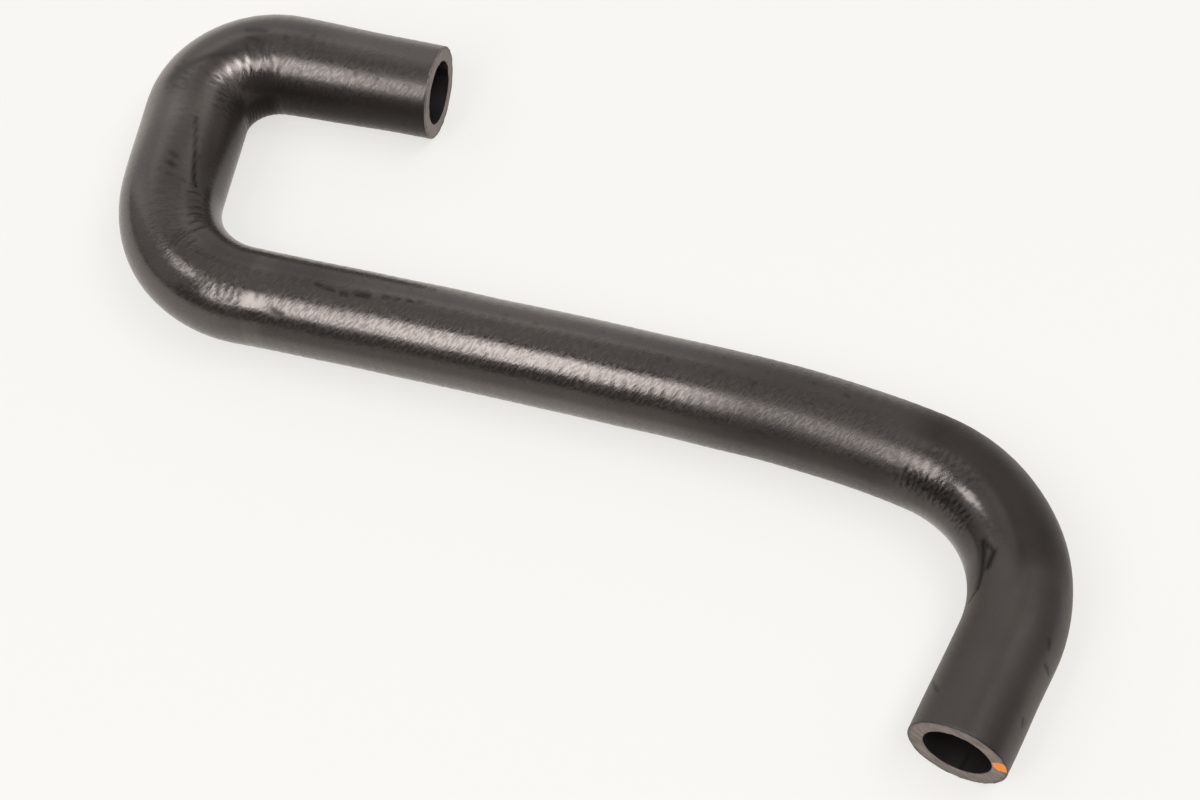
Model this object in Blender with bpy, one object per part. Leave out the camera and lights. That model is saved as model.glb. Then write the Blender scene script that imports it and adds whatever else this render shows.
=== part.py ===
"""Moulded heater hose: one thick rubber tube, cured on a bent mandrel and open at both ends.

Metres, +Z up. The long run lies along +X and the hose lies flat on z = 0.
"""

import math

import bmesh
import bpy

# Section of the plain tube, and the small break on the rims of its knife-cut ends
BORE_DIAMETER = 0.0160
WALL = 0.0037
RIM_BREAK = 0.0003

# Lengths along the centreline between the bends, from the upper end to the outlet end
UPPER_LEG = 0.0382
SHORT_LEG = 0.0239
LONG_RUN = 0.1269
OUTLET_LEG = 0.0286

# Bends: the radius is that of the plain tube's skin on the hollow side, and turns are in degrees
TIGHT_BEND_INSIDE = 0.0076
TIGHT_BEND_TURN = 94.7
LOWER_BEND_INSIDE = 0.0150
LOWER_BEND_TURN = 84.7
LONG_RUN_BOW = 2.2
EASY_BEND_INSIDE = 0.2266
EASY_BEND_TURN = 10.4
OUTLET_BEND_INSIDE = 0.0237
OUTLET_BEND_TURN = 88.8

# The wall gathers round the way out of the tight bend: extra thickness there, and how far it reaches
GATHER_THICKNESS = 0.0013
GATHER_REACH = 0.084

# Fineness of the facets
SIDES = 32
STRAIGHT_STEP = 0.0085
BOWED_STEP = 0.016
BEND_STEP = 7.5

RUBBER_COLOUR = (0.045, 0.041, 0.039, 1.0)
RUBBER_ROUGHNESS = 0.48

SKIN_RADIUS = BORE_DIAMETER / 2 + WALL
LEFT = 1
RIGHT = -1


def clear_scene():
    for thing in list(bpy.data.objects):
        bpy.data.objects.remove(thing, do_unlink=True)


def vulcanised_rubber():
    material = bpy.data.materials.new("vulcanised_rubber")
    material.use_nodes = True
    shader = material.node_tree.nodes["Principled BSDF"]
    shader.inputs["Base Color"].default_value = RUBBER_COLOUR
    shader.inputs["Roughness"].default_value = RUBBER_ROUGHNESS
    shader.inputs["Metallic"].default_value = 0.0
    return material


def mandrel_pieces():
    """The mandrel from the upper end to the outlet end: (length, turn to the left in radians, step count)."""

    def straight(length):
        return length, 0.0, math.ceil(length / STRAIGHT_STEP)

    def bowed(length, degrees, side):
        return length, side * math.radians(degrees), math.ceil(length / BOWED_STEP)

    def bend(inside_radius, degrees, side):
        turn = math.radians(degrees)
        length = (inside_radius + SKIN_RADIUS) * turn
        return length, side * turn, math.ceil(max(degrees / BEND_STEP, length / STRAIGHT_STEP))

    return [
        straight(UPPER_LEG),
        bend(TIGHT_BEND_INSIDE, TIGHT_BEND_TURN, LEFT),
        straight(SHORT_LEG),
        bend(LOWER_BEND_INSIDE, LOWER_BEND_TURN, LEFT),
        bowed(LONG_RUN, LONG_RUN_BOW, RIGHT),
        bend(EASY_BEND_INSIDE, EASY_BEND_TURN, RIGHT),
        bend(OUTLET_BEND_INSIDE, OUTLET_BEND_TURN, RIGHT),
        straight(OUTLET_LEG),
    ]


def stations():
    """Centreline stations: (distance along it, x, y, heading), with the long run's chord heading along +X."""
    heading = math.radians(LONG_RUN_BOW / 2 - TIGHT_BEND_TURN - LOWER_BEND_TURN)
    distance = x = y = 0.0
    found = [(distance, x, y, heading)]
    for length, turn, steps in mandrel_pieces():
        step = length / steps
        half_turn = turn / steps / 2
        chord = step * (math.sin(half_turn) / half_turn if half_turn else 1.0)
        for _ in range(steps):
            x += chord * math.cos(heading + half_turn)
            y += chord * math.sin(heading + half_turn)
            heading += 2 * half_turn
            distance += step
            found.append((distance, x, y, heading))
    return found


def skin_radius(distance):
    """Outer radius at a distance along the centreline: the plain tube, with the wall gathered in a smooth hump."""
    gather_centre = UPPER_LEG + (TIGHT_BEND_INSIDE + SKIN_RADIUS) * math.radians(TIGHT_BEND_TURN)
    away = min(abs(distance - gather_centre) / GATHER_REACH, 1.0)
    return SKIN_RADIUS + GATHER_THICKNESS * math.cos(away * math.pi / 2) ** 2


def ring(bm, station, radius, shift=0.0):
    """A round loop square to the centreline, moved along it by shift. The skin's lowest flats lie on z = 0."""
    distance, x, y, heading = station
    x += shift * math.cos(heading)
    y += shift * math.sin(heading)
    height = skin_radius(distance) * math.cos(math.pi / SIDES)
    loop = []
    for side in range(SIDES):
        around = 2 * math.pi * (side + 0.5) / SIDES
        across = radius * math.cos(around)
        point = (
            x - across * math.sin(heading),
            y + across * math.cos(heading),
            height + radius * math.sin(around),
        )
        loop.append(bm.verts.new(point))
    return loop


def bridge(bm, one, other):
    for side in range(SIDES):
        after = (side + 1) % SIDES
        bm.faces.new((one[side], other[side], other[after], one[after]))


def hose_loops(bm):
    """The section's loops in order: out along the skin from the upper end, then back along the bore."""
    line = stations()
    first, last = line[0], line[-1]
    bore = BORE_DIAMETER / 2
    skin = [ring(bm, first, skin_radius(first[0]) - RIM_BREAK)]
    skin.append(ring(bm, first, skin_radius(first[0]), RIM_BREAK))
    skin += [ring(bm, station, skin_radius(station[0])) for station in line[1:-1]]
    skin.append(ring(bm, last, skin_radius(last[0]), -RIM_BREAK))
    skin.append(ring(bm, last, skin_radius(last[0]) - RIM_BREAK))
    inner = [ring(bm, last, bore + RIM_BREAK)]
    inner.append(ring(bm, last, bore, -RIM_BREAK))
    inner += [ring(bm, station, bore) for station in reversed(line[1:-1])]
    inner.append(ring(bm, first, bore, RIM_BREAK))
    inner.append(ring(bm, first, bore + RIM_BREAK))
    return skin + inner


def heater_hose():
    mesh = bpy.data.meshes.new("heater_hose")
    bm = bmesh.new()
    loops = hose_loops(bm)
    for one, other in zip(loops, loops[1:] + loops[:1]):
        bridge(bm, one, other)
    bmesh.ops.recalc_face_normals(bm, faces=bm.faces)
    low = [min(vert.co[axis] for vert in bm.verts) for axis in range(2)]
    high = [max(vert.co[axis] for vert in bm.verts) for axis in range(2)]
    bmesh.ops.translate(bm, verts=bm.verts, vec=(-(low[0] + high[0]) / 2, -(low[1] + high[1]) / 2, 0.0))
    bm.to_mesh(mesh)
    bm.free()
    mesh.shade_smooth()
    mesh.set_sharp_from_angle(angle=math.radians(30))
    mesh.materials.append(vulcanised_rubber())
    hose = bpy.data.objects.new("heater_hose", mesh)
    bpy.context.scene.collection.objects.link(hose)
    return hose


clear_scene()
heater_hose()
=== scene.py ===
"""Moulded rubber heater hose lying on a pale floor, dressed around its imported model. Metres, +Z up."""

import math

import bpy
import numpy as np
from mathutils import Matrix, Vector


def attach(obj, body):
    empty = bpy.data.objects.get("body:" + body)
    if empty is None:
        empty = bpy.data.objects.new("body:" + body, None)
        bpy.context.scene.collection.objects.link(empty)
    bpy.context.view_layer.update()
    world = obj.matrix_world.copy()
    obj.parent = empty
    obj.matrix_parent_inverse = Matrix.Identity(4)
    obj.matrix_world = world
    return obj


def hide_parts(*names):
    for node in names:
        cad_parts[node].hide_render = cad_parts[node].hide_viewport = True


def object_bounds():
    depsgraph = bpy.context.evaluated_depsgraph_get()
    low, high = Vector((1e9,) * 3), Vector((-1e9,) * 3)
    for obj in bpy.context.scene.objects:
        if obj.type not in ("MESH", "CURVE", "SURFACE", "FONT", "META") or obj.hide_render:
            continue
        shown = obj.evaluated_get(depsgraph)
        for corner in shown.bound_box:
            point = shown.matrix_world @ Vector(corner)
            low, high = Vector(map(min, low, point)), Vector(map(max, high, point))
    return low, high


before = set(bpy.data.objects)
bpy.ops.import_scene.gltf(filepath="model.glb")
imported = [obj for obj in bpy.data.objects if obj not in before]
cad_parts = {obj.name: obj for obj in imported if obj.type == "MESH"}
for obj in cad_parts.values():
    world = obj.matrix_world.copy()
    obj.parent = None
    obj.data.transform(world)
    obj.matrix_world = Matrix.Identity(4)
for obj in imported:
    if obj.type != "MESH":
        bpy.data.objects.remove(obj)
cad_low, cad_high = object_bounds()

# Heater hose: EPDM rubber round a knitted yarn reinforcement, extruded straight, pushed on to a bent
# mandrel and cured there, so it keeps its bends. The knit shows faintly through the cover, which wrinkles
# on the hollow sides. Both ends are cut with a knife, and a clamp would hold each on its pipe.

MM = 0.001

# Section of the hose, and its lengths and bends from the upper end to the outlet end, in millimetres and
# degrees. A bend's radius is that of the skin on its hollow side, and a turn to the left is positive.
BORE_RADIUS = 8.0
WALL = 3.7
SKIN_RADIUS = BORE_RADIUS + WALL
UPPER_LEG = 38.2
TIGHT_BEND = (7.6, 94.7)
SHORT_LEG = 23.9
LOWER_BEND = (15.0, 84.7)
LONG_RUN = 126.9
LONG_RUN_BOW = -2.2
EASY_BEND = (226.6, -10.4)
OUTLET_BEND = (23.7, -88.8)
OUTLET_LEG = 28.6

# The wall is thicker where the rubber gathered on the mandrel, round the way out of the tight bend.
GATHER = 1.3
GATHER_REACH = 84.0

# One bend runs into the next over this length, and the line is worked out in steps of this size.
EASING = 7.0
LINE_STEP = 0.1


def bend(shape):
    """A bend as (length of its centreline, turn in degrees)."""
    hollow_radius, turn = shape
    return (hollow_radius + SKIN_RADIUS) * math.radians(abs(turn)), turn


RUNS = [
    (UPPER_LEG, 0.0),
    bend(TIGHT_BEND),
    (SHORT_LEG, 0.0),
    bend(LOWER_BEND),
    (LONG_RUN, LONG_RUN_BOW),
    bend(EASY_BEND),
    bend(OUTLET_BEND),
    (OUTLET_LEG, 0.0),
]
LENGTH = sum(length for length, _ in RUNS)
GATHER_CENTRE = UPPER_LEG + bend(TIGHT_BEND)[0]


def skin_radius(along):
    """Outer radius: the plain tube, plus GATHER times a squared cosine that ends GATHER_REACH away."""
    away = np.clip(np.abs(along - GATHER_CENTRE) / GATHER_REACH, 0, 1)
    return SKIN_RADIUS + GATHER * np.cos(away * math.pi / 2) ** 2


def mandrel_line():
    """The centreline as arrays of distance, x, y and heading. The heading grows evenly along each bend and
    is then smoothed with a bell of length EASING; x and y are the running sums of its cosine and sine. The
    long run heads along x, and the middle of the hose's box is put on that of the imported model's."""
    ends = np.cumsum([0.0] + [length for length, _ in RUNS])
    turned = np.cumsum([0.0] + [math.radians(turn) for _, turn in RUNS])
    long_run_heading = turned[4] + math.radians(LONG_RUN_BOW) / 2
    along = np.linspace(0.0, LENGTH, round(LENGTH / LINE_STEP) + 1)
    bell = np.hanning(round(EASING / LINE_STEP) | 1)
    sharp = np.pad(np.interp(along, ends, turned - long_run_heading), len(bell) // 2, mode="edge")
    heading = np.convolve(sharp, bell / bell.sum(), mode="valid")
    step = along[1] - along[0]
    cosine, sine = np.cos(heading), np.sin(heading)
    x = np.concatenate([[0.0], np.cumsum((cosine[1:] + cosine[:-1]) / 2 * step)])
    y = np.concatenate([[0.0], np.cumsum((sine[1:] + sine[:-1]) / 2 * step)])
    outer = skin_radius(along)
    sides_x = np.concatenate([x - outer * sine, x + outer * sine])
    sides_y = np.concatenate([y + outer * cosine, y - outer * cosine])
    x += (cad_low.x + cad_high.x) / 2 / MM - (sides_x.min() + sides_x.max()) / 2
    y += (cad_low.y + cad_high.y) / 2 / MM - (sides_y.min() + sides_y.max()) / 2
    return along, x, y, heading


LINE = mandrel_line()


def window(value, start, full, fade, end):
    """1 from full to fade, 0 before start and after end, and a smooth step in between."""
    rise = np.clip((value - start) / (full - start), 0, 1)
    fall = np.clip((end - value) / (end - fade), 0, 1)
    return rise * rise * (3 - 2 * rise) * fall * fall * (3 - 2 * fall)


# The start of a window that holds from the upper end, the end of one that holds to the outlet end, and the
# start of one that begins at the bottom of the tube.
FROM_UPPER_END = (-20, -10)
TO_OUTLET_END = (400, 410)
FROM_BELOW = (-90, -80)


def ripple(along, around, wavelengths, slant, spread, seed):
    """Random waves on the skin laid flat: a sum of 48 seeded cosines whose lengths lie between the two
    wavelengths and whose directions scatter round slant, each a whole number of waves round the tube. Its
    mean square is 1."""
    rng = np.random.default_rng(seed)
    count = 48
    total = np.zeros(np.broadcast(along, around).shape)
    for _ in range(count):
        length = rng.uniform(*wavelengths)
        angle = math.radians(rng.normal(slant, spread))
        turns = round(2 * math.pi * SKIN_RADIUS * math.sin(angle) / length)
        phase = rng.uniform(0, 2 * math.pi)
        total += np.cos(2 * math.pi * math.cos(angle) / length * along + turns * around + phase)
    return total / math.sqrt(count / 2)


# Rings of the skin: their number, how many points each has, their spacing where the cover is wrinkled or
# plain, and how far the rims of the ends are broken.
SKIN_RINGS = 836
SIDES = 108
FINE_SPACING = 0.40
PLAIN_SPACING = 0.58
RIM_BREAK = 0.15

# Around the tube, 0 is the left side of the line, 90 the top and 180 the right side, in degrees.
AROUND = np.radians(-90 + 360 * np.arange(SIDES) / SIDES)


def ring_places():
    """Places of the skin's rings along the hose: even steps of the running sum of 1 / spacing."""
    along = LINE[0]
    wrinkled = np.maximum(window(along, 25, 35, 130, 145), window(along, 290, 298, 330, 340))
    share = np.cumsum(1 / (PLAIN_SPACING + (FINE_SPACING - PLAIN_SPACING) * wrinkled))
    places = np.interp(np.linspace(share[0], share[-1], SKIN_RINGS), share, along)
    return RIM_BREAK + places * (LENGTH - 2 * RIM_BREAK) / LENGTH


# Knit: the courses' spacing along the hose, the wales round it, and how far they stand out of the plain
# cover, which hides them in the hook and from the outlet bend on.
COURSE_SPACING = 3.1
WALES = 22
KNIT_AT = (0, 40, 60, 128, 142, 300, 326, 388)
KNIT_HEIGHT = (0.018, 0.022, 0.006, 0.006, 0.028, 0.024, 0.005, 0.003)


def knit(along, around):
    """Low cells over the stitches, from -1 to 1: a cosine with one wave for each course, stronger and
    weaker by turns round the tube."""
    courses = along / COURSE_SPACING
    lean = 0.35 * np.sin(around)
    return np.cos(2 * math.pi * (courses + lean)) * (0.7 + 0.3 * np.cos(WALES * around + math.pi * courses))


# Wrinkles: how deep the courses fold in on the hollow side of the hook, how far and how often the cover
# bulges beside the tight bend, and how high the fine wrinkles, the grain and the slow swell of the skin
# are. The cloth that the hose was wrapped in printed a grain on the cover: FAINT says how faint it is along
# the hose, and 0 is clear.
FOLD_DEPTH = 0.16
LUMP_HEIGHT = 0.08
LUMP_SPACING = 3.8
SQUIRM_HEIGHT = 0.03
GRAIN_HEIGHT = 0.006
SWELL_HEIGHT = 0.05
FAINT_AT = (0, 34, 46, 118, 134, 292, 308, 330, 388)
FAINT = (0.1, 0.05, 0.62, 0.35, 0.0, 0.0, 0.25, 0.45, 0.45)


def pressed_flat(along):
    """1 where something flat has pressed the start of the long run smooth, and 0 elsewhere."""
    return window(along, 137, 138, 141, 144)


def crinkle(along, around):
    """How wrinkled the cover is, up to 1: beside the tight bend, over the lower bend and inside the outlet
    bend. It falls below 0 where the cloth's imprint is faint, on the hook and from the outlet bend on, and
    to -1 on the place that is pressed smooth."""
    degrees = np.degrees(around)
    beside_tight = window(along, 42, 47, 60, 68) * window(degrees, 34, 39, 47, 56)
    over_lower = window(along, 100, 112, 128, 137) * window(degrees, 62, 78, 112, 124)
    scuffed = window(along, 127, 131, 135.5, 137) * window(degrees, 102, 110, 128, 136)
    in_outlet = window(along, 298, 304, 322, 332) * window(degrees, 126, 132, 152, 170)
    pressed = pressed_flat(along) * window(degrees, 106, 112, 128, 134)
    faint = np.interp(along, FAINT_AT, FAINT)
    places = [0.7 * beside_tight, 0.55 * over_lower, 0.9 * scuffed, 0.8 * in_outlet]
    return np.maximum.reduce(places) - faint - pressed


def folds(along, around):
    """How far the cover folds in, from 0 to about 1: a cosine with one wave for each course, to the fourth
    power. It makes a comb inside the tight bend and, on the first half of the lower bend, short ribs whose
    ends trail behind their middles."""
    degrees = np.degrees(around)
    uneven = ripple(along, around, (6, 14), 20, 60, 3)
    comb = window(along, 34, 44, 68, 80) * window(degrees, -60, -30, 2, 16)
    off_middle = degrees - 50 - (along - 102)
    ribs = window(along, 98, 100, 118, 121) * window(off_middle, -15, -7, 5, 14 + 4 * uneven)
    trailing = 0.2 * ribs * (off_middle / 12) ** 2
    waves = along / COURSE_SPACING - trailing + 0.16 + 0.08 * uneven
    furrow = (0.5 + 0.5 * np.cos(2 * math.pi * waves)) ** 4
    return np.maximum(0.7 * comb, ribs) * furrow * np.clip(0.8 + 0.3 * uneven, 0, 1.2)


def swell(along, around):
    """The slow swell that the wrapping left in the skin, in millimetres."""
    return SWELL_HEIGHT * ripple(along, around, (18, 60), 0, 50, 11)


def skin_relief(along, around):
    """Height of the cover over the plain tube in millimetres: knit cells, folds and bulges where the hook
    squeezes them, fine wrinkles in their places, a fine grain and the slow swell."""
    degrees = np.degrees(around)
    cells = knit(along, around)
    uneven = ripple(along, around, (5, 12), 20, 60, 4)
    bulges = window(along, 34, 42, 60, 74) * window(degrees, 40, 52, 74, 86)
    gaps = 0.5 + 0.5 * np.cos(2 * math.pi * along / LUMP_SPACING + 0.9 * uneven)
    squirm = ripple(along, around, (1.0, 2.0), 10, 50, 5)
    grain = ripple(along, around, (1.3, 2.8), 30, 30, 7)
    return (
        np.interp(along, KNIT_AT, KNIT_HEIGHT) * cells
        - FOLD_DEPTH * folds(along, around)
        - LUMP_HEIGHT * bulges * gaps
        + SQUIRM_HEIGHT * np.clip(crinkle(along, around), 0, 1) * squirm
        + GRAIN_HEIGHT * grain
        + swell(along, around)
    )


# Wear: scores and dents, each from one place to another as (along, around in degrees), with its half width
# and its depth, and how dark it looks.
MARKS = [
    ((154.0, 90.0), (158.8, 94.0), 0.40, 0.05, 0.90),
    ((160.7, 95.0), (162.2, 95.0), 0.52, 0.08, 1.00),
    ((164.6, 92.5), (167.4, 91.5), 0.66, 0.14, 1.00),
    ((171.0, 88.5), (172.2, 88.0), 0.50, 0.08, 0.95),
    ((173.8, 88.5), (174.8, 87.0), 0.48, 0.07, 0.90),
    ((176.8, 87.0), (178.0, 87.0), 0.46, 0.06, 0.85),
    ((179.6, 85.0), (180.8, 85.0), 0.42, 0.05, 0.70),
    ((79.0, 71.0), (88.3, 61.0), 0.48, 0.10, 0.85),
    ((88.3, 61.0), (99.3, 50.0), 0.50, 0.14, 1.00),
    ((90.9, 84.0), (91.6, 79.0), 0.75, 0.05, 0.60),
    ((93.6, 84.0), (94.3, 79.0), 0.75, 0.06, 0.80),
    ((97.0, 83.0), (97.5, 80.0), 0.60, 0.05, 0.50),
    ((98.0, 67.0), (98.8, 64.0), 0.50, 0.05, 0.50),
    ((334.9, 131.0), (349.4, 144.0), 0.85, 0.16, 1.00),
    ((334.9, 131.0), (339.3, 121.0), 0.55, 0.13, 0.95),
    ((339.3, 121.0), (343.4, 131.0), 0.85, 0.14, 1.00),
    ((349.4, 144.0), (353.0, 157.0), 0.45, 0.09, 0.95),
    ((376.1, 154.0), (379.1, 134.0), 0.35, 0.10, 0.80),
    ((357.6, 42.0), (359.0, 38.0), 0.50, 0.06, 0.70),
    ((362.6, 32.0), (363.1, 16.0), 0.45, 0.08, 0.80),
    ((376.2, 28.0), (377.4, 24.0), 0.45, 0.08, 0.75),
    ((44.0, 93.0), (48.0, 98.0), 0.90, 0.03, 0.50),
    ((45.4, 80.0), (48.4, 86.0), 0.60, 0.03, 0.45),
    ((68.7, 114.0), (63.2, 97.0), 1.40, 0.05, 0.50),
    ((63.2, 97.0), (59.3, 85.0), 1.10, 0.05, 0.50),
    ((59.3, 85.0), (54.6, 75.0), 0.90, 0.05, 0.50),
    ((54.6, 75.0), (50.5, 72.0), 0.70, 0.05, 0.55),
    ((50.5, 72.0), (45.7, 68.0), 0.55, 0.04, 0.50),
    ((45.7, 68.0), (40.8, 66.0), 0.45, 0.04, 0.40),
    ((63.7, 67.0), (63.9, 64.0), 0.45, 0.07, 0.80),
    ((66.9, 67.0), (67.1, 65.0), 0.50, 0.03, 0.70),
    ((53.5, 51.0), (53.6, 49.0), 0.40, 0.06, 0.60),
    ((115.9, 98.0), (115.5, 84.0), 0.30, 0.05, 0.45),
    ((116.8, 105.0), (116.5, 82.0), 0.30, 0.07, 0.55),
    ((117.8, 100.0), (117.4, 78.0), 0.30, 0.07, 0.55),
    ((120.2, 94.0), (120.4, 80.0), 0.30, 0.06, 0.45),
    ((145.0, 131.0), (147.4, 134.0), 0.80, 0.05, 0.80),
]


def stroke(along, around, start, end, half_width):
    """1 on the straight line from start to end on the skin laid flat, and a bell to either side of it."""
    run = end[0] - start[0]
    rise = SKIN_RADIUS * math.radians(end[1] - start[1])
    from_start = along - start[0]
    up = SKIN_RADIUS * (around - math.radians(start[1]))
    share = np.clip((from_start * run + up * rise) / (run * run + rise * rise), 0, 1)
    away = (from_start - share * run) ** 2 + (up - share * rise) ** 2
    return np.exp(-away / half_width**2)


def wear(along, around):
    """Depth of the marks in millimetres, and how dark each point is from 0 to 1: the marks, the scuffed
    places, a few specks, and a painted shade in the folds and in the hollow of the tight bend."""
    degrees = np.degrees(around)
    depth = np.zeros(np.broadcast(along, around).shape)
    dark = np.zeros_like(depth)
    for start, end, half_width, deep, darkness in MARKS:
        bell = stroke(along, around, start, end, half_width)
        depth = np.maximum(depth, deep * bell)
        dark = np.maximum(dark, darkness * bell)
    blotch = np.clip(0.3 + 0.6 * ripple(along, around, (1.0, 2.4), 25, 30, 13), 0, 1)
    scuffed = np.maximum.reduce(
        [
            window(along, 298, 303, 324, 332) * window(degrees, 127, 133, 150, 164),
            0.6 * window(along, 302, 308, 318, 326) * window(degrees, 92, 98, 106, 114),
            0.7 * window(along, 130, 132, 136, 138) * window(degrees, 106, 114, 128, 138),
            0.5 * window(along, 62, 65, 70, 74) * window(degrees, 86, 96, 112, 122),
            0.6 * window(along, 54, 60, 72, 80) * window(degrees, 20, 32, 54, 62),
        ]
    )
    # The hollow of the tight bend and the flank beside it are darkened as a painted shade, where little
    # light reaches.
    hollow = window(along, -10, 46, 66, 82) * window(degrees, -60, -35, 20, 38) * (0.7 + 0.3 * blotch)
    specks = np.clip(ripple(along, around, (2.0, 6), 60, 60, 17) - 1.7, 0, 1)
    specks *= window(along, *FROM_UPPER_END, 300, 350) * window(degrees, 30, 50, 100, 115)
    # The folds add a painted shade in their furrows.
    shades = [dark, scuffed * blotch, 0.4 * specks, 0.65 * hollow, 0.9 * folds(along, around)]
    return depth, np.maximum.reduce(shades)


# Gloss along the hose: the place, the strength of the shine as a Specular IOR level, and how matt the cover
# is, from 0 for its plain satin to 1. The easy bend is the dullest, and handling has polished the tight
# bend and the right side of the outlet bend.
GLOSS = [
    (0, 0.41, 0.58),
    (34, 0.46, 0.28),
    (46, 0.66, 0.10),
    (52, 0.90, 0.00),
    (66, 0.98, 0.20),
    (74, 0.85, 0.35),
    (84, 0.60, 0.20),
    (100, 0.50, 0.10),
    (128, 0.53, 0.10),
    (150, 0.55, 0.20),
    (190, 0.62, 0.08),
    (220, 0.65, 0.00),
    (246, 0.53, 0.20),
    (262, 0.32, 0.75),
    (294, 0.36, 0.75),
    (305, 0.43, 0.30),
    (313, 0.64, -0.10),
    (320, 0.64, -0.30),
    (340, 0.40, 0.10),
]
GLOSS_AT, SHINE, DULLNESS = zip(*GLOSS)


def shine(along, around):
    """Strength of the shine at each point. A bloom of wax dulls the sides that nothing rubs: those that
    face the hollows and the floor, and the top of the bends. The pressed place, the outside of the hook and
    the top of the upper leg shine more than the rest round them."""
    degrees = np.degrees(around)
    inside_hook = window(along, *FROM_UPPER_END, 75, 105) * window(degrees, *FROM_BELOW, 16, 46)
    tight_hollow = window(along, 18, 46, 66, 86) * window(degrees, *FROM_BELOW, 10, 38)
    over_tight = window(along, 36, 52, 68, 80) * window(degrees, 68, 78, 108, 130)
    beside_leg = window(along, 56, 68, 90, 104) * window(degrees, 20, 32, 50, 68)
    low_side = window(along, 128, 145, 294, 308) * window(degrees, 141, 152, 162, 176)
    over_outlet = window(along, 292, 306, 340, 352) * window(degrees, 15, 35, 90, 106)
    inside_outlet = window(along, 296, 310, 328, 345) * window(degrees, 124, 136, 168, 185)
    outlet_left = window(along, 326, 340, *TO_OUTLET_END) * window(degrees, 30, 46, 82, 98)
    over_lower = window(along, 116, 128, 150, 175) * window(degrees, 46, 60, 86, 96)
    bloom = np.maximum.reduce(
        [
            0.80 * inside_hook,
            0.97 * tight_hollow,
            0.42 * over_tight,
            0.65 * beside_leg,
            0.45 * over_lower,
            0.48 * low_side,
            0.72 * over_outlet,
            0.50 * inside_outlet,
            0.40 * outlet_left,
        ]
    )
    outside_hook = window(along, *FROM_UPPER_END, 76, 96) * window(degrees, 112, 136, 190, 210)
    over_leg = window(along, *FROM_UPPER_END, 20, 40) * window(degrees, 74, 86, 104, 120)
    polished = 0.1 * pressed_flat(along) + 0.3 * outside_hook + 0.2 * over_leg
    return np.minimum(np.interp(along, GLOSS_AT, SHINE) * (1 - bloom) + polished, 1.0)


def dullness(along, around):
    """How matt each point is, with slow patches. It is below 0 where the cover is polished, and well above
    0 on the outlet leg, the second half of the outlet bend and the top and left of its first half, which
    nothing has rubbed."""
    degrees = np.degrees(around)
    patches = np.clip(0.5 + 0.35 * ripple(along, around, (8, 30), 0, 60, 19), 0, 1)
    over_outlet = window(along, 290, 304, *TO_OUTLET_END) * window(degrees, *FROM_BELOW, 94, 108)
    outlet_leg = window(along, 334, 346, *TO_OUTLET_END)
    return (
        0.15 * (patches - 0.5)
        + np.interp(along, GLOSS_AT, DULLNESS)
        - 0.25 * pressed_flat(along)
        + 1.4 * np.maximum(over_outlet, outlet_leg)
    )


# Cut ends and bore: rings across the wall and along the bore, how far the knife's chatter stands out, and
# how far the bore swells. A dab of paint marks the outlet end: its middle as (radius, around in degrees),
# and its half sizes across and along the wall.
WALL_RINGS = 12
BORE_RINGS = 60
CHATTER = 0.035
BORE_SWELL = 0.02
DAB_AT = (10.5, 11.0)
DAB_HALF_SIZES = (2.5, 2.2)


def knife_chatter(radius, around, seed):
    """Height of a cut face in millimetres: nearly parallel waves over its plane, as a knife leaves them."""
    rng = np.random.default_rng(seed)
    across, up = radius * np.cos(around), radius * np.sin(around)
    height = np.zeros_like(across)
    count = 14
    for _ in range(count):
        length = rng.uniform(0.8, 4.0)
        angle = rng.normal(rng.choice([0.6, 0.9]), 0.12)
        drawn = across * math.cos(angle) + up * math.sin(angle)
        height += np.cos(2 * math.pi / length * drawn + rng.uniform(0, 6.3))
    return CHATTER * height / math.sqrt(count / 2)


def paint_dab(radius, around, short_of_end):
    """A bell over the dab of paint, from the squares of the distances out and sideways from its middle, in
    half sizes. The dab runs a little way back from the outlet end along the skin."""
    middle, turned = DAB_AT
    out = (radius + short_of_end - middle) / DAB_HALF_SIZES[0]
    sideways = radius * (around - math.radians(turned)) / DAB_HALF_SIZES[1]
    return np.exp(-(out**2) - sideways**2)


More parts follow.
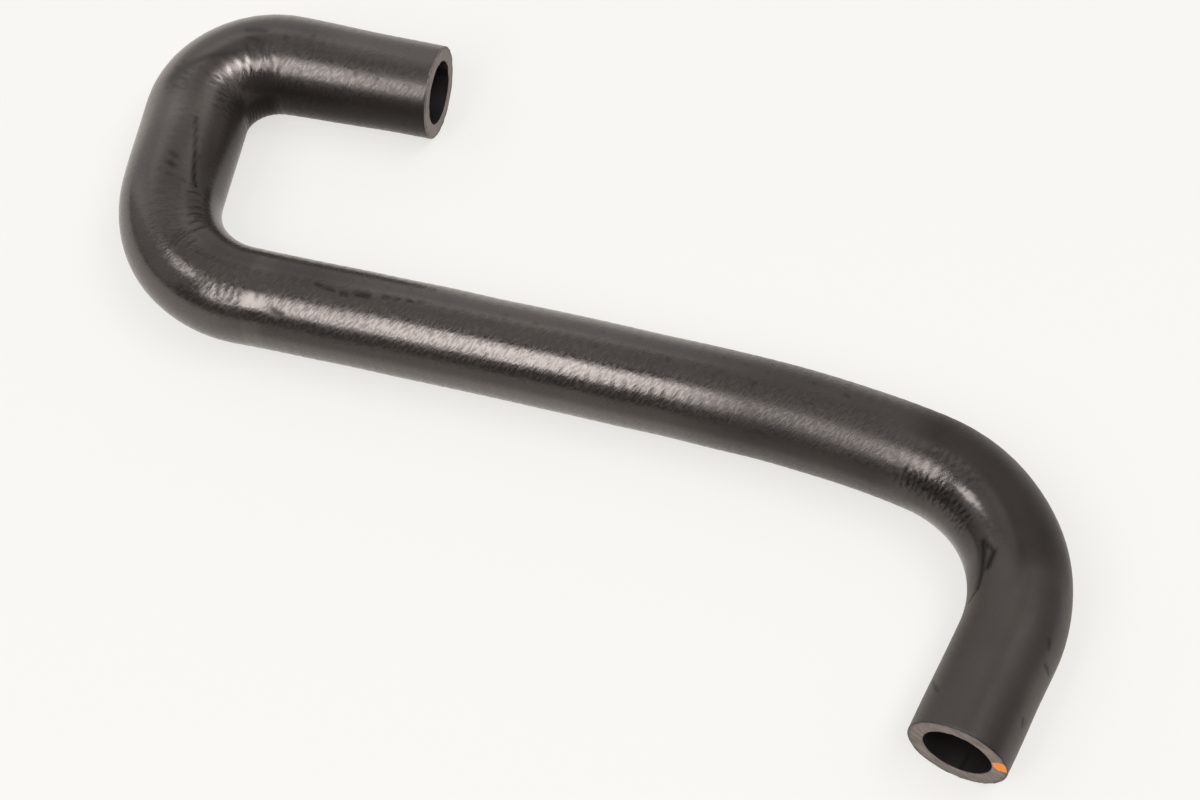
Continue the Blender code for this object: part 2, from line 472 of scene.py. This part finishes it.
def hose_surface():
    """The whole closed surface as rows of rings in order: out along the skin, in across the outlet end,
    back along the bore and out across the upper end. Each row has a place along the line, a shift from
    that place and a radius."""
    around = AROUND[None, :]
    outer = ring_places()[:, None]
    depth, dark = wear(outer, around)
    relief = skin_relief(outer, around) - depth
    skin = skin_radius(outer) + relief
    across = np.linspace(0, 1, WALL_RINGS)[:, None]
    first = skin[0] - RIM_BREAK + (BORE_RADIUS + 2 * RIM_BREAK - skin[0]) * across
    last = skin[-1] - RIM_BREAK + (BORE_RADIUS + 2 * RIM_BREAK - skin[-1]) * across
    inner = np.linspace(LENGTH - RIM_BREAK, RIM_BREAK, BORE_RINGS)[:, None]
    bore = BORE_RADIUS + BORE_SWELL * ripple(inner, around, (9, 25), 0, 60, 23)
    places = np.concatenate([outer, np.full_like(across, LENGTH), inner, np.zeros_like(across)])
    shift = np.concatenate(
        [
            np.zeros_like(skin),
            knife_chatter(last, around, 29),
            np.zeros_like(bore),
            -knife_chatter(first[::-1], around, 31),
        ]
    )
    radius = np.concatenate([skin, last, bore, first[::-1]])
    blank = np.zeros_like(radius)
    marks = {name: blank.copy() for name in ("dark", "relief", "shine", "dull", "crinkle", "paint", "rim")}
    marks["dark"][: len(outer)] = dark
    marks["relief"][: len(outer)] = relief - swell(outer, around)
    marks["shine"][: len(outer)] = shine(outer, around)
    marks["dull"][: len(outer)] = dullness(outer, around)
    marks["crinkle"][: len(outer)] = crinkle(outer, around)
    marks["paint"][: len(outer)] = paint_dab(skin, around, LENGTH - outer)
    marks["paint"][len(outer) : len(outer) + WALL_RINGS] = paint_dab(last, around, 0.0)
    marks["rim"][len(outer) : len(outer) + WALL_RINGS] = 1 - across
    marks["rim"][-WALL_RINGS:] = 1 - across[::-1]
    parts = np.repeat([0, 1, 2, 1], [len(outer), WALL_RINGS, BORE_RINGS, WALL_RINGS])
    return places, shift, radius, marks, parts


def place(places, shift, radius):
    """Points of the rings: the line's own point at each ring's place, as high as the skin's radius there,
    moved by shift along the heading, by radius times the cosine to the left and by radius times the sine
    up. The skin is pressed flat where it meets the floor."""
    along, x, y, heading = LINE
    turned = np.interp(places, along, heading)
    cosine, sine = np.cos(turned), np.sin(turned)
    left = radius * np.cos(AROUND)
    points = np.empty(radius.shape + (3,))
    points[..., 0] = np.interp(places, along, x) + shift * cosine - left * sine
    points[..., 1] = np.interp(places, along, y) + shift * sine + left * cosine
    points[..., 2] = np.maximum(skin_radius(places) + radius * np.sin(AROUND), 0.0)
    return points * MM


# Edges that turn by more than this stay sharp in the shading.
SHARP_EDGE = math.radians(50)


def closed_mesh(name, points, marks, parts, places):
    """A mesh of quads on a grid that closes on itself both ways, with its marks as attributes on the
    points, and the skin laid flat as its UV map: distance along the hose and round it, in metres."""
    rows, columns = points.shape[:2]
    row, column = np.mgrid[0:rows, 0:columns]
    down, right = (row + 1) % rows, (column + 1) % columns
    this_row, next_row = row * columns, down * columns
    corners = np.stack([this_row + column, this_row + right, next_row + right, next_row + column])
    corners = corners.reshape(4, -1).T
    mesh = bpy.data.meshes.new(name)
    mesh.vertices.add(rows * columns)
    mesh.vertices.foreach_set("co", points.ravel())
    mesh.loops.add(corners.size)
    mesh.loops.foreach_set("vertex_index", corners.ravel())
    mesh.polygons.add(len(corners))
    mesh.polygons.foreach_set("loop_start", np.arange(0, corners.size, 4))
    mesh.polygons.foreach_set("material_index", np.repeat(parts, columns))
    mesh.update(calc_edges=True)
    for mark, values in marks.items():
        attribute = mesh.attributes.new(mark, "FLOAT", "POINT")
        attribute.data.foreach_set("value", values.ravel().astype(np.float32))
    face_width = 2 * math.pi * SKIN_RADIUS / columns
    u = places[:, 0][np.stack([row, row, down, down])]
    v = face_width * np.stack([column, column + 1, column + 1, column])
    flat = np.stack([u, v], axis=-1).reshape(4, -1, 2).transpose(1, 0, 2) * MM
    mesh.uv_layers.new(name="laid_flat").data.foreach_set("uv", flat.ravel())
    mesh.shade_smooth()
    mesh.set_sharp_from_angle(angle=SHARP_EDGE)
    return mesh


def linear(hex_colour):
    """An sRGB hex colour as linear red, green, blue and full alpha."""
    parts = [int(hex_colour[i : i + 2], 16) / 255 for i in (1, 3, 5)]
    colour = [part / 12.92 if part <= 0.04045 else ((part + 0.055) / 1.055) ** 2.4 for part in parts]
    return (*colour, 1.0)


def add_node(tree, kind, sockets=(), **settings):
    """Adds a node. Settings are its properties, and sockets are its inputs: each a value or another node's
    output. The colours of a Mix node are its inputs 6 and 7 and its output 2."""
    node = tree.nodes.new(kind)
    for name, value in settings.items():
        setattr(node, name, value)
    for name, value in dict(sockets).items():
        if isinstance(value, bpy.types.NodeSocket):
            tree.links.new(value, node.inputs[name])
        else:
            node.inputs[name].default_value = value
    return node


def new_material(name):
    """A new material, with its node tree and its Principled shader."""
    material = bpy.data.materials.new(name)
    material.use_nodes = True
    return material, material.node_tree, material.node_tree.nodes["Principled BSDF"]


# Cover: EPDM cured under a wrapped cloth. It is a warm black with a satin gloss that the cloth's imprint
# breaks into short slanting grains, and it looks paler at grazing angles, where a thin bloom of wax lies.
# The finest speckle is drawn coarser than the rubber's own, so that it shows.
COVER_COLOUR = "#27221F"
# The grime colour also stands for a painted shade in the pits, the folds and the hollow of the tight bend.
GRIME_AND_SHADE_COLOUR = "#0E0C0B"
FILM_TINT = "#FFF3EE"
SHEEN_TINT = "#E6C8B4"
GRAIN_LONG = 1.6 * MM
GRAIN_WIDE = 0.6 * MM
GRAIN_SLANT = math.radians(-60)
GRAIN_RAISED = 0.06 * MM
SPECKLE_SIZE = 0.35 * MM
SPECKLE_RAISED = 0.005 * MM
CLOUD_SIZE = 14 * MM

# Rubber's own IOR is about 1.5, and 1.8 is matched to the strength of the highlights. SATIN is the
# roughness, and the steps are how far a grain, a matt place and the grime with its painted shade are from
# it.
COVER_IOR = 1.8
SATIN = 0.23
GRAIN_STEP = 0.075
MATT_STEP = 0.2
GRIME_AND_SHADE_STEP = 0.1


def cured_epdm_cover():
    """Its colour is the cover's black times slow clouds, under the grime of the dark marks, which also carry
    a painted shade, and under a painted shade in the pits. Its roughness is SATIN, less or more by up to
    GRAIN_STEP where a grain is printed, plus MATT_STEP times the mark for dull places and the grime step
    times the grime and shade. Its shine is the mesh's own mark, less where grime and shade lie."""
    material, tree, shader = new_material("cured_epdm_cover")
    flat = add_node(tree, "ShaderNodeUVMap", uv_map="laid_flat").outputs["UV"]
    here = add_node(tree, "ShaderNodeTexCoord").outputs["Object"]
    slanted = add_node(
        tree,
        "ShaderNodeMapping",
        {"Vector": flat, "Rotation": (0, 0, GRAIN_SLANT), "Scale": (GRAIN_LONG, GRAIN_WIDE, 1)},
        vector_type="TEXTURE",
    ).outputs["Vector"]
    grain = add_node(
        tree, "ShaderNodeTexNoise", {"Vector": slanted, "Scale": 1.0, "Detail": 1.0}
    ).outputs["Fac"]
    speckle = add_node(
        tree, "ShaderNodeTexNoise", {"Vector": flat, "Scale": 1 / SPECKLE_SIZE, "Detail": 2.0}
    ).outputs["Fac"]
    cloud = add_node(
        tree,
        "ShaderNodeTexNoise",
        {"Vector": here, "Scale": 1 / CLOUD_SIZE, "Detail": 3.0, "Roughness": 0.6},
    ).outputs["Fac"]
    marked = {}
    for name in ("dark", "dull", "relief", "crinkle", "shine"):
        marked[name] = add_node(tree, "ShaderNodeAttribute", attribute_name=name).outputs["Fac"]
    # Where the relief sinks, the pits and furrows are darkened: a painted shade.
    painted_pit_shade = add_node(
        tree,
        "ShaderNodeMapRange",
        {"Value": marked["relief"], "From Min": -0.02, "From Max": -0.14, "To Min": 0.0, "To Max": 0.8},
    ).outputs["Result"]
    # Grime and painted shade together.
    grime_and_shade = add_node(tree, "ShaderNodeMath", {0: marked["dark"], 1: painted_pit_shade}, operation="MAXIMUM").outputs[0]
    tone = add_node(
        tree,
        "ShaderNodeMapRange",
        {"Value": cloud, "From Min": 0.3, "From Max": 0.7, "To Min": 0.78, "To Max": 1.22},
    ).outputs["Result"]
    cover = add_node(
        tree,
        "ShaderNodeVectorMath",
        {0: linear(COVER_COLOUR)[:3], "Scale": tone},
        operation="SCALE",
    ).outputs["Vector"]
    colour = add_node(
        tree,
        "ShaderNodeMix",
        {"Factor": grime_and_shade, 6: cover, 7: linear(GRIME_AND_SHADE_COLOUR)},
        data_type="RGBA",
    ).outputs[2]
    printed = add_node(
        tree, "ShaderNodeMapRange", {"Value": marked["crinkle"], "From Min": -0.7, "From Max": 0.0}
    ).outputs["Result"]
    streak = add_node(
        tree,
        "ShaderNodeMapRange",
        {"Value": grain, "From Min": 0.35, "From Max": 0.65, "To Min": GRAIN_STEP, "To Max": -GRAIN_STEP},
    ).outputs["Result"]
    rough = SATIN
    for share, step in ((streak, printed), (marked["dull"], MATT_STEP), (grime_and_shade, GRIME_AND_SHADE_STEP)):
        rough = add_node(
            tree, "ShaderNodeMath", {0: share, 1: step, 2: rough}, operation="MULTIPLY_ADD"
        ).outputs[0]
    clean = add_node(
        tree, "ShaderNodeMapRange", {"Value": grime_and_shade, "To Min": 1.0, "To Max": 0.2}
    ).outputs["Result"]
    level = add_node(tree, "ShaderNodeMath", {0: marked["shine"], 1: clean}, operation="MULTIPLY").outputs[0]
    fine = add_node(
        tree, "ShaderNodeBump", {"Height": speckle, "Distance": SPECKLE_RAISED, "Strength": 1.0}
    ).outputs["Normal"]
    raised = add_node(
        tree,
        "ShaderNodeMapRange",
        {"Value": marked["crinkle"], "From Min": -1.0, "To Min": 0.0, "To Max": GRAIN_RAISED},
        interpolation_type="SMOOTHERSTEP",
    ).outputs["Result"]
    normal = add_node(
        tree, "ShaderNodeBump", {"Height": grain, "Distance": raised, "Strength": 1.0, "Normal": fine}
    ).outputs["Normal"]
    tree.links.new(colour, shader.inputs["Base Color"])
    tree.links.new(rough, shader.inputs["Roughness"])
    tree.links.new(level, shader.inputs["Specular IOR Level"])
    tree.links.new(normal, shader.inputs["Normal"])
    shader.inputs["IOR"].default_value = COVER_IOR
    shader.inputs["Specular Tint"].default_value = linear(FILM_TINT)
    shader.inputs["Sheen Weight"].default_value = 0.12
    shader.inputs["Sheen Tint"].default_value = linear(SHEEN_TINT)
    shader.inputs["Sheen Roughness"].default_value = 0.4
    return material


# Cut ends: the grey that a knife leaves on rubber filled with carbon black and chalk, dry and streaked
# along the cut, with the blacker cover showing in patches at the rim. The outlet end carries a dab of
# orange paint, as hoses get when they are checked.
CUT_COLOUR = "#7E726C"
CUT_STREAK_COLOUR = "#4C423D"
PAINT_COLOUR = "#EE8A26"

# The streaks' sizes, their turn in radians and their relief, and the sizes of the patches at the rim and of
# the paint's ragged edge.
STREAK_SIZE = (4 * MM, 4 * MM, 0.5 * MM)
STREAK_TURN = (0.5, 0.5, 0.0)
STREAK_RAISED = 0.04 * MM
RIM_PATCH_SIZE = 1.5 * MM
PAINT_EDGE_SIZE = 0.8 * MM


def painted(tree, colour):
    """The colour given, under orange paint where the mesh's paint mark stands above an uneven level."""
    dab = add_node(tree, "ShaderNodeAttribute", attribute_name="paint").outputs["Fac"]
    here = add_node(tree, "ShaderNodeTexCoord").outputs["Object"]
    ragged = add_node(
        tree, "ShaderNodeTexNoise", {"Vector": here, "Scale": 1 / PAINT_EDGE_SIZE, "Detail": 3.0}
    ).outputs["Fac"]
    uneven = add_node(
        tree, "ShaderNodeMath", {0: ragged, 1: 0.5, 2: dab}, operation="MULTIPLY_ADD"
    ).outputs[0]
    covered = add_node(
        tree, "ShaderNodeMapRange", {"Value": uneven, "From Min": 0.68, "From Max": 0.80}
    ).outputs["Result"]
    return add_node(
        tree,
        "ShaderNodeMix",
        {"Factor": covered, 6: colour, 7: linear(PAINT_COLOUR)},
        data_type="RGBA",
    ).outputs[2]


def knife_cut_rubber():
    """Noise drawn out along the cut makes the pale and dark streaks and their relief. Where the mark for
    the rim plus a patchy noise is high, the dark colour lies over them."""
    material, tree, shader = new_material("knife_cut_rubber")
    here = add_node(tree, "ShaderNodeTexCoord").outputs["Object"]
    drawn = add_node(
        tree,
        "ShaderNodeMapping",
        {"Vector": here, "Rotation": STREAK_TURN, "Scale": STREAK_SIZE},
        vector_type="TEXTURE",
    ).outputs["Vector"]
    streaks = add_node(
        tree, "ShaderNodeTexNoise", {"Vector": drawn, "Scale": 1.0, "Detail": 3.0}
    ).outputs["Fac"]
    shade = add_node(
        tree, "ShaderNodeMapRange", {"Value": streaks, "From Min": 0.38, "From Max": 0.72, "To Max": 0.8}
    ).outputs["Result"]
    rim = add_node(tree, "ShaderNodeAttribute", attribute_name="rim").outputs["Fac"]
    patch = add_node(
        tree, "ShaderNodeTexNoise", {"Vector": here, "Scale": 1 / RIM_PATCH_SIZE, "Detail": 2.0}
    ).outputs["Fac"]
    edge = add_node(tree, "ShaderNodeMath", {0: patch, 1: 0.8, 2: rim}, operation="MULTIPLY_ADD").outputs[0]
    cover = add_node(
        tree, "ShaderNodeMapRange", {"Value": edge, "From Min": 1.1, "From Max": 1.45}
    ).outputs["Result"]
    darkened = add_node(tree, "ShaderNodeMath", {0: shade, 1: cover}, operation="MAXIMUM").outputs[0]
    colour = add_node(
        tree,
        "ShaderNodeMix",
        {"Factor": darkened, 6: linear(CUT_COLOUR), 7: linear(CUT_STREAK_COLOUR)},
        data_type="RGBA",
    ).outputs[2]
    normal = add_node(
        tree, "ShaderNodeBump", {"Height": streaks, "Distance": STREAK_RAISED}
    ).outputs["Normal"]
    tree.links.new(painted(tree, colour), shader.inputs["Base Color"])
    tree.links.new(normal, shader.inputs["Normal"])
    shader.inputs["Roughness"].default_value = 0.62
    return material


# Inner tube: smooth coolant-proof EPDM, blacker than the cover, matt where the mandrel's soap dried on it.
INNER_COLOUR = "#1B1817"
SOAP_FILM_SIZE = 3 * MM


def inner_tube_rubber():
    """One colour, rougher where a noise as coarse as SOAP_FILM_SIZE is high."""
    material, tree, shader = new_material("inner_tube_rubber")
    here = add_node(tree, "ShaderNodeTexCoord").outputs["Object"]
    film = add_node(
        tree, "ShaderNodeTexNoise", {"Vector": here, "Scale": 1 / SOAP_FILM_SIZE, "Detail": 3.0}
    ).outputs["Fac"]
    rough = add_node(
        tree, "ShaderNodeMapRange", {"Value": film, "To Min": 0.5, "To Max": 0.7}
    ).outputs["Result"]
    shader.inputs["Base Color"].default_value = linear(INNER_COLOUR)
    shader.inputs["Specular IOR Level"].default_value = 0.1
    tree.links.new(rough, shader.inputs["Roughness"])
    return material


def heater_hose():
    """The hose as one closed surface, with a material each for its skin, its cut ends and its bore."""
    places, shift, radius, marks, parts = hose_surface()
    mesh = closed_mesh("moulded_hose", place(places, shift, radius), marks, parts, places)
    for material in (cured_epdm_cover(), knife_cut_rubber(), inner_tube_rubber()):
        mesh.materials.append(material)
    hose = bpy.data.objects.new("moulded_hose", mesh)
    bpy.context.scene.collection.objects.link(hose)
    return hose


hose = heater_hose()
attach(hose, "root")
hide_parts("heater_hose")

# Floor: a matt white board, wide enough to fill every view. To the camera and in reflections, part of its
# white is its own, which keeps the shadow on it as pale as that of a thing in a white tent.
FLOOR_SIDE = 6.0
FLOOR_COLOUR = "#F3F1ED"
FLOOR_GLOW = 0.75


def floor_board():
    """A flat square. What rays from the camera, from gloss and through glass see of it is its own light to
    a share of FLOOR_GLOW, and plain white for the rest."""
    half = FLOOR_SIDE / 2
    mesh = bpy.data.meshes.new("floor")
    corners = [(-half, -half, 0), (half, -half, 0), (half, half, 0), (-half, half, 0)]
    mesh.from_pydata(corners, [], [(0, 1, 2, 3)])
    material, tree, shader = new_material("matt_white_board")
    shader.inputs["Base Color"].default_value = linear(FLOOR_COLOUR)
    shader.inputs["Roughness"].default_value = 0.8
    ray = add_node(tree, "ShaderNodeLightPath").outputs
    seen = ray["Is Camera Ray"]
    for kind in ("Is Glossy Ray", "Is Transmission Ray"):
        seen = add_node(tree, "ShaderNodeMath", {0: seen, 1: ray[kind]}, operation="MAXIMUM").outputs[0]
    share = add_node(tree, "ShaderNodeMath", {0: seen, 1: FLOOR_GLOW}, operation="MULTIPLY").outputs[0]
    glow = add_node(tree, "ShaderNodeEmission", {"Color": linear(FLOOR_COLOUR)}).outputs[0]
    surface = add_node(tree, "ShaderNodeMixShader", {0: share, 1: shader.outputs[0], 2: glow}).outputs[0]
    tree.links.new(surface, tree.nodes["Material Output"].inputs["Surface"])
    mesh.materials.append(material)
    board = bpy.data.objects.new("floor", mesh)
    bpy.context.scene.collection.objects.link(board)
    return board


floor_board()

# Studio light: four softboxes in an arc over the near side of the hose, four wide, dim fills above, behind
# and beside it, and an even surround.
AIM = Vector((0.0, 0.0, 0.012))
LIGHT_DISTANCE = 1.8
SURROUND_STRENGTH = 0.05


def softbox(name, toward, long_axis, length, width, radiance):
    """An area lamp off AIM in the direction toward, facing it. Its power is radiance times pi times area."""
    facing = Vector(toward).normalized()
    along = Vector(long_axis)
    along = (along - along.dot(facing) * facing).normalized()
    lamp = bpy.data.lights.new(name, "AREA")
    lamp.shape = "RECTANGLE"
    lamp.size = length
    lamp.size_y = width
    lamp.energy = radiance * math.pi * length * width
    box = bpy.data.objects.new(name, lamp)
    turn = Matrix((along, facing.cross(along), facing)).transposed()
    box.matrix_world = Matrix.Translation(AIM + facing * LIGHT_DISTANCE) @ turn.to_4x4()
    box.visible_camera = False
    bpy.context.scene.collection.objects.link(box)


softbox("key_softbox", (-0.26, -0.605, 0.755), (0.90, -0.43, 0.0), 0.58, 1.16, 6.8)
softbox("left_softbox", (-0.60, -0.22, 0.77), (0.34, 0.94, 0.0), 0.54, 0.39, 4.8)
softbox("near_right_softbox", (0.25, -0.45, 0.86), (0.62, 0.78, 0.0), 1.1, 0.46, 5.8)
softbox("right_softbox", (0.42, 0.10, 0.88), (0.20, 0.97, 0.0), 0.96, 0.58, 6.6)
softbox("overhead_fill", (0.10, 0.40, 1.0), (1.0, 0.0, 0.0), 4.4, 2.2, 0.38)
softbox("back_fill", (-0.55, 0.70, 0.42), (0.79, 0.62, 0.0), 3.0, 1.7, 0.6)
softbox("far_right_fill", (0.70, 0.62, 0.40), (0.66, -0.75, 0.0), 2.6, 1.6, 0.35)
softbox("left_fill", (-0.90, -0.15, 0.40), (-0.16, 0.99, 0.0), 1.8, 1.1, 0.4)

world = bpy.data.worlds.new("surround")
world.use_nodes = True
world.node_tree.nodes["Background"].inputs["Color"].default_value = linear(FLOOR_COLOUR)
world.node_tree.nodes["Background"].inputs["Strength"].default_value = SURROUND_STRENGTH
bpy.context.scene.world = world

# Camera: a short telephoto on the photograph's own angle, looking down at the hose.
CAMERA_TARGET = Vector((6.15, -3.40, 0.0)) * MM
CAMERA_DISTANCE = 669.8 * MM
CAMERA_ELEVATION = math.radians(58.14)
CAMERA_AZIMUTH = math.radians(22.16)
CAMERA_ROLL = math.radians(-6.68)
LENS = 84.0
SENSOR = 36.0


def photo_camera():
    """A camera at its distance from the target, turned by azimuth and elevation and then rolled."""
    data = bpy.data.cameras.new("camera")
    data.lens = LENS
    data.sensor_width = SENSOR
    camera = bpy.data.objects.new("camera", data)
    back = Vector(
        (
            math.sin(CAMERA_AZIMUTH) * math.cos(CAMERA_ELEVATION),
            -math.cos(CAMERA_AZIMUTH) * math.cos(CAMERA_ELEVATION),
            math.sin(CAMERA_ELEVATION),
        )
    )
    level = Vector((math.cos(CAMERA_AZIMUTH), math.sin(CAMERA_AZIMUTH), 0.0))
    upright = Matrix((level, back.cross(level), back)).transposed().to_4x4()
    tilt = Matrix.Rotation(CAMERA_ROLL, 4, "Z")
    camera.matrix_world = Matrix.Translation(CAMERA_TARGET + back * CAMERA_DISTANCE) @ upright @ tilt
    bpy.context.scene.collection.objects.link(camera)
    return camera


bpy.context.scene.camera = photo_camera()
bpy.context.scene.view_settings.view_transform = "Standard"
